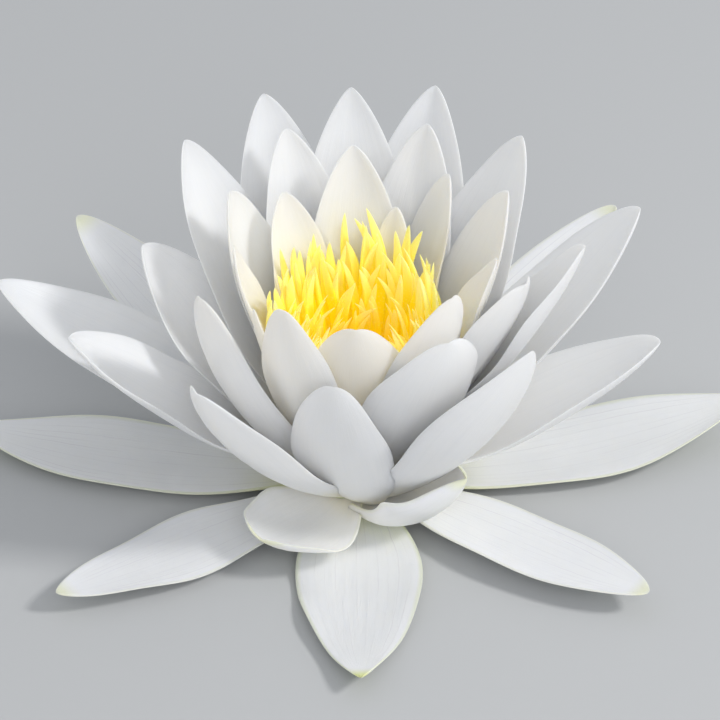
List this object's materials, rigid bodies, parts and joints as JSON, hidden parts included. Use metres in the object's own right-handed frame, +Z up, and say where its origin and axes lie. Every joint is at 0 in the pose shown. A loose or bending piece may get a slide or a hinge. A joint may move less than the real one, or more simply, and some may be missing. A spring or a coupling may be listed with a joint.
{
  "type": "water lily flower",
  "caption": "Open white water lily bloom, picked short, with four spread sepals, whorls of cupped pointed petals and a yellow stamen tuft.",
  "frame": {"origin": "on the surface that the bloom rests on, under the middle of its outline, at the cut stalk", "axes": "+Z up through the ovary, -Y the front that is seen in the picture, +X to the viewer's right"},
  "size_m": [0.1684, 0.1353, 0.0742],
  "materials": {
    "sepal": "satin white inside with faint grey-violet veins, pale green rims and underside",
    "petal": "satin white, faintly blue in shade",
    "inner_petal": "satin creamy white, yellower at the base",
    "stamen": "satin bright yellow, orange-yellow at the base",
    "ovary": "satin pale yellow-green with a yellow rayed stigma"
  },
  "bodies": {
    "root": {"ovary": "ovary", "sepal_1": "sepal", "sepal_2": "sepal", "sepal_3": "sepal", "sepal_4": "sepal", "petal_1_1": "petal", "petal_1_2": "petal", "petal_1_3": "petal", "petal_1_4": "petal", "petal_1_5": "petal", "petal_1_6": "petal", "petal_2_1": "petal", "petal_2_2": "petal", "petal_2_3": "petal", "petal_2_4": "petal", "petal_3_1": "petal", "petal_3_2": "petal", "petal_3_3": "petal", "petal_3_4": "petal", "petal_3_5": "petal", "petal_4_1": "petal", "petal_4_2": "petal", "petal_4_3": "petal", "petal_4_4": "petal", "petal_4_5": "petal", "petal_5_1": "petal", "petal_5_2": "petal", "petal_5_3": "petal", "petal_5_4": "petal", "petal_6_1": "petal", "petal_6_2": "petal", "petal_6_3": "petal", "petal_6_4": "petal", "petal_7_1": "inner_petal", "petal_7_2": "inner_petal", "petal_7_3": "inner_petal", "petal_7_4": "inner_petal", "petal_7_5": "inner_petal", "petal_8_1": "inner_petal", "petal_8_2": "inner_petal", "petal_8_3": "inner_petal", "petal_8_4": "inner_petal", "stamens": "stamen"}
  },
  "joints": []
}
